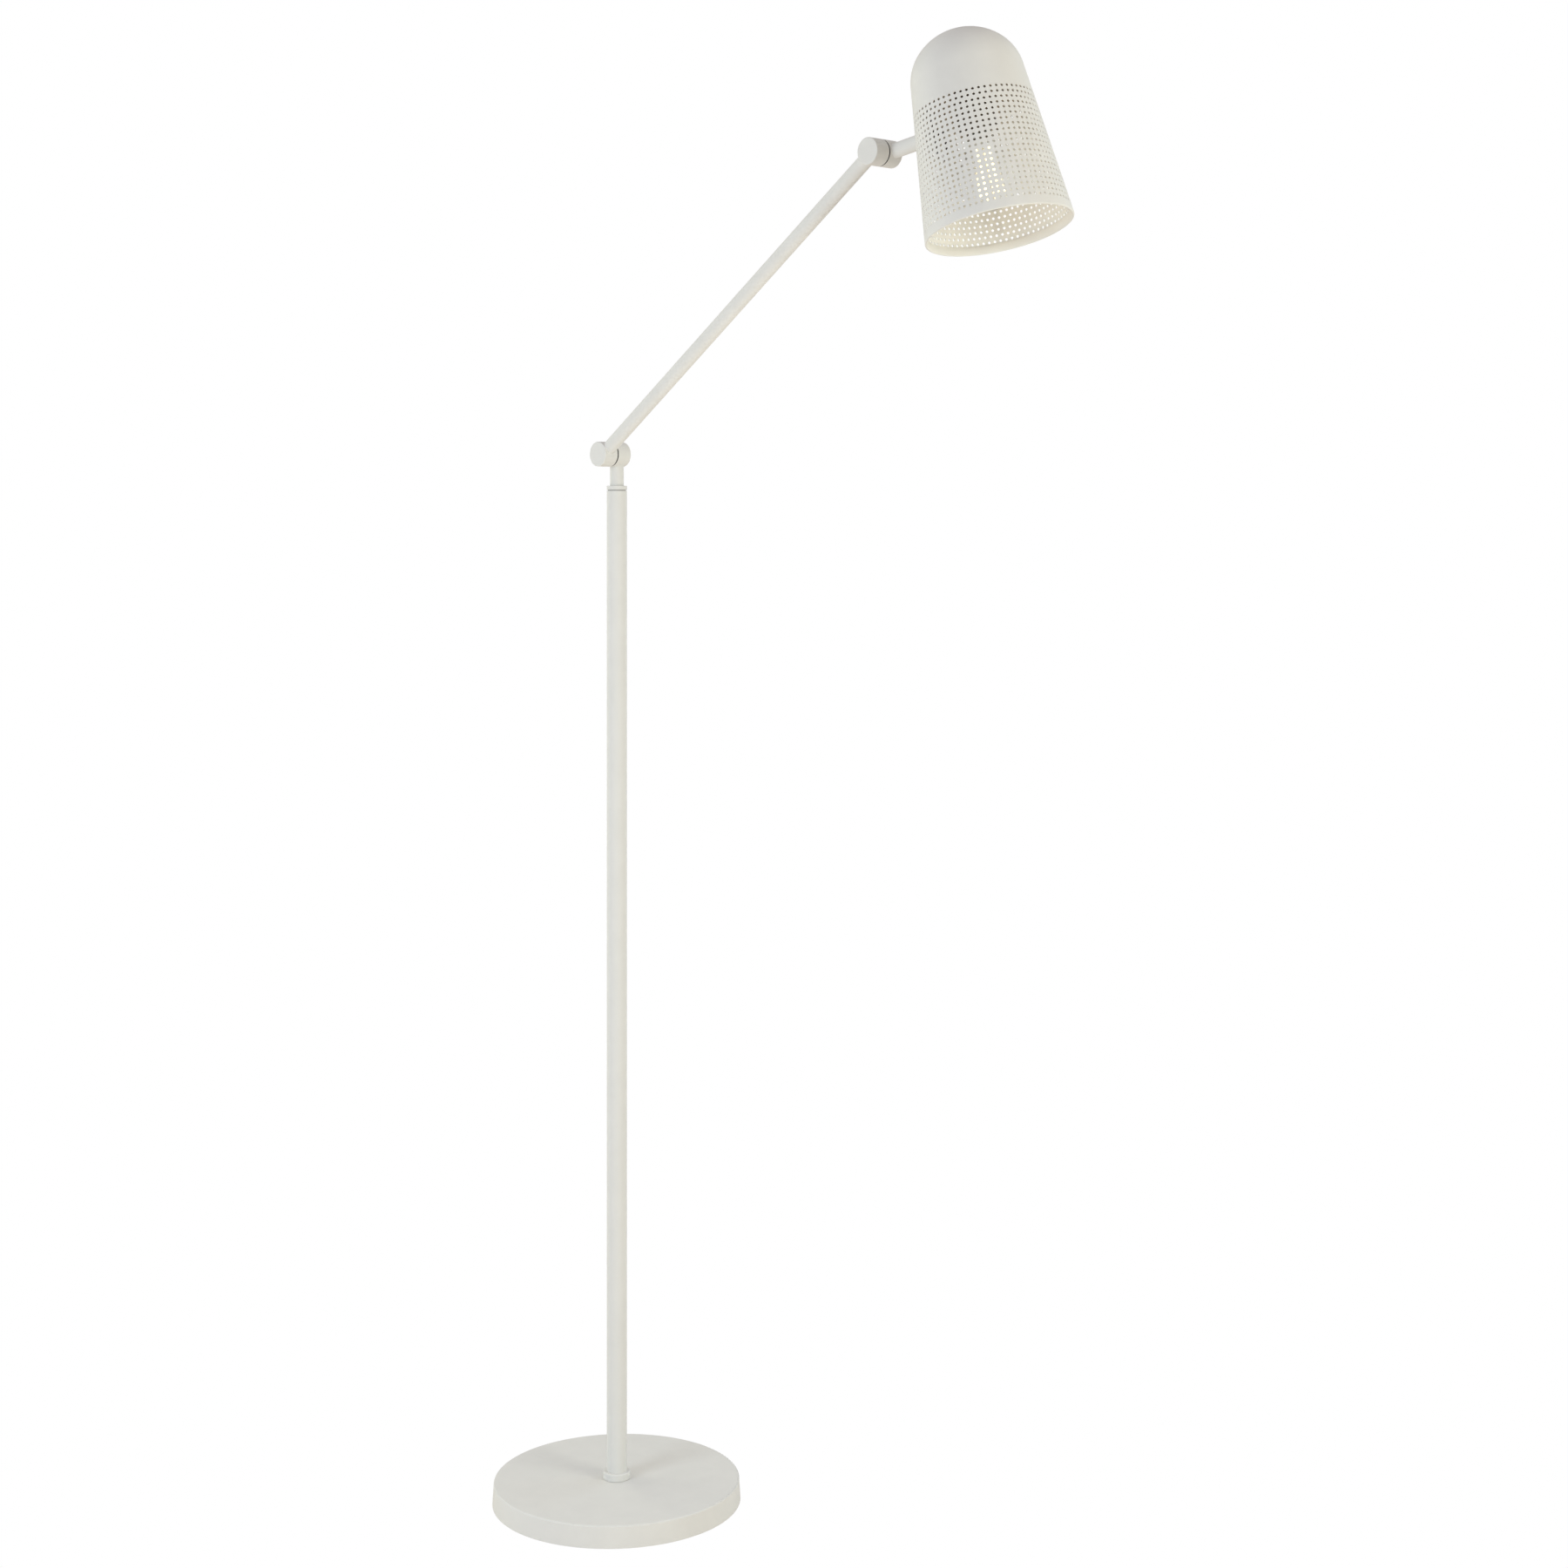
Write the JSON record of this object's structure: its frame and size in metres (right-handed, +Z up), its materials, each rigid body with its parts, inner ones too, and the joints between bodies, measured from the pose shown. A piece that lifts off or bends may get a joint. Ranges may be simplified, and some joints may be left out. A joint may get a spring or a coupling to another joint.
{
  "type": "adjustable arm floor lamp",
  "caption": "Floor lamp with a round base, slim pole, hinged arm and a perforated bullet-shaped shade on a friction hinge.",
  "frame": {"origin": "centre of the base's underside, on the floor", "axes": "+Z up along the pole, +X the way the arm reaches, -Y the side of the front hubs and the arm"},
  "size_m": [0.7543, 0.2704, 1.5388],
  "materials": {
    "powder_coat": "matte",
    "shade_coat": "matte",
    "cast_iron": "matte",
    "zinc_steel": "satin",
    "foam": "matte",
    "black_nylon": "matte",
    "acetal": "satin",
    "phenolic": "satin",
    "brass": "satin",
    "cap_metal": "satin",
    "black_glass": "gloss",
    "clear_glass": "polished",
    "phosphor": "matte",
    "lead_jacket": "matte"
  },
  "bodies": {
    "stand": {"base_cover": "powder_coat", "base_weight": "cast_iron", "base_plate": "zinc_steel", "base_plate_screws": "zinc_steel", "floor_pad": "foam", "cord_gland": "black_nylon", "cord_clamp": "black_nylon", "cord_clamp_screws": "zinc_steel", "pole_tube": "powder_coat", "pole_collar": "powder_coat", "pole_foot_plug": "zinc_steel", "pole_nipple": "zinc_steel", "nipple_washer": "zinc_steel", "nipple_nut": "zinc_steel", "pole_cap": "powder_coat", "swivel_bush": "acetal", "thrust_washer": "acetal", "lead_pole": "lead_jacket"},
    "neck": {"neck_tube": "powder_coat", "neck_plug": "zinc_steel", "neck_bolt": "zinc_steel", "neck_wave_washer": "zinc_steel", "lead_neck": "lead_jacket", "elbow_rear_hub": "powder_coat", "elbow_rear_cap": "powder_coat", "elbow_friction_washer": "acetal"},
    "arm": {"arm_tube": "powder_coat", "lead_arm": "lead_jacket", "elbow_front_hub": "powder_coat", "elbow_pivot": "zinc_steel", "elbow_spring_washer": "zinc_steel", "elbow_lock_nut": "zinc_steel", "wrist_front_hub": "powder_coat", "wrist_pivot": "zinc_steel", "wrist_spring_washer": "zinc_steel", "wrist_lock_nut": "zinc_steel"},
    "head": {"wrist_rear_hub": "powder_coat", "wrist_rear_cap": "powder_coat", "wrist_friction_washer": "acetal", "rod_tube": "powder_coat", "rod_plug": "zinc_steel", "rod_nipple": "zinc_steel", "rod_washer": "zinc_steel", "rod_nut": "zinc_steel", "shade_shell": "shade_coat", "socket_bracket": "zinc_steel", "lampholder": "phenolic", "screw_shell": "brass", "centre_contact": "brass", "holder_nipple": "zinc_steel", "holder_nut": "zinc_steel", "bulb_cap": "cap_metal", "bulb_contact": "black_glass", "bulb_glass": "clear_glass", "bulb_mount": "clear_glass", "bulb_filaments": "phosphor", "lead_head": "lead_jacket"}
  },
  "joints": [
    {"name": "neck_swivel", "type": "hinge", "parent": "stand", "child": "neck", "pos_m": [0, 0, 1.1092], "axis": [0, 0, 1], "range_deg": [-170, 170]},
    {"name": "arm_tilt", "type": "hinge", "parent": "neck", "child": "arm", "pos_m": [0, -0.0092, 1.1434], "axis": [0, -1, 0], "range_deg": [-75, 54.6]},
    {"name": "head_tilt", "type": "hinge", "parent": "arm", "child": "head", "pos_m": [0.40313, -0.0092, 1.42978], "axis": [0, -1, 0], "range_deg": [-63, 116]}
  ]
}
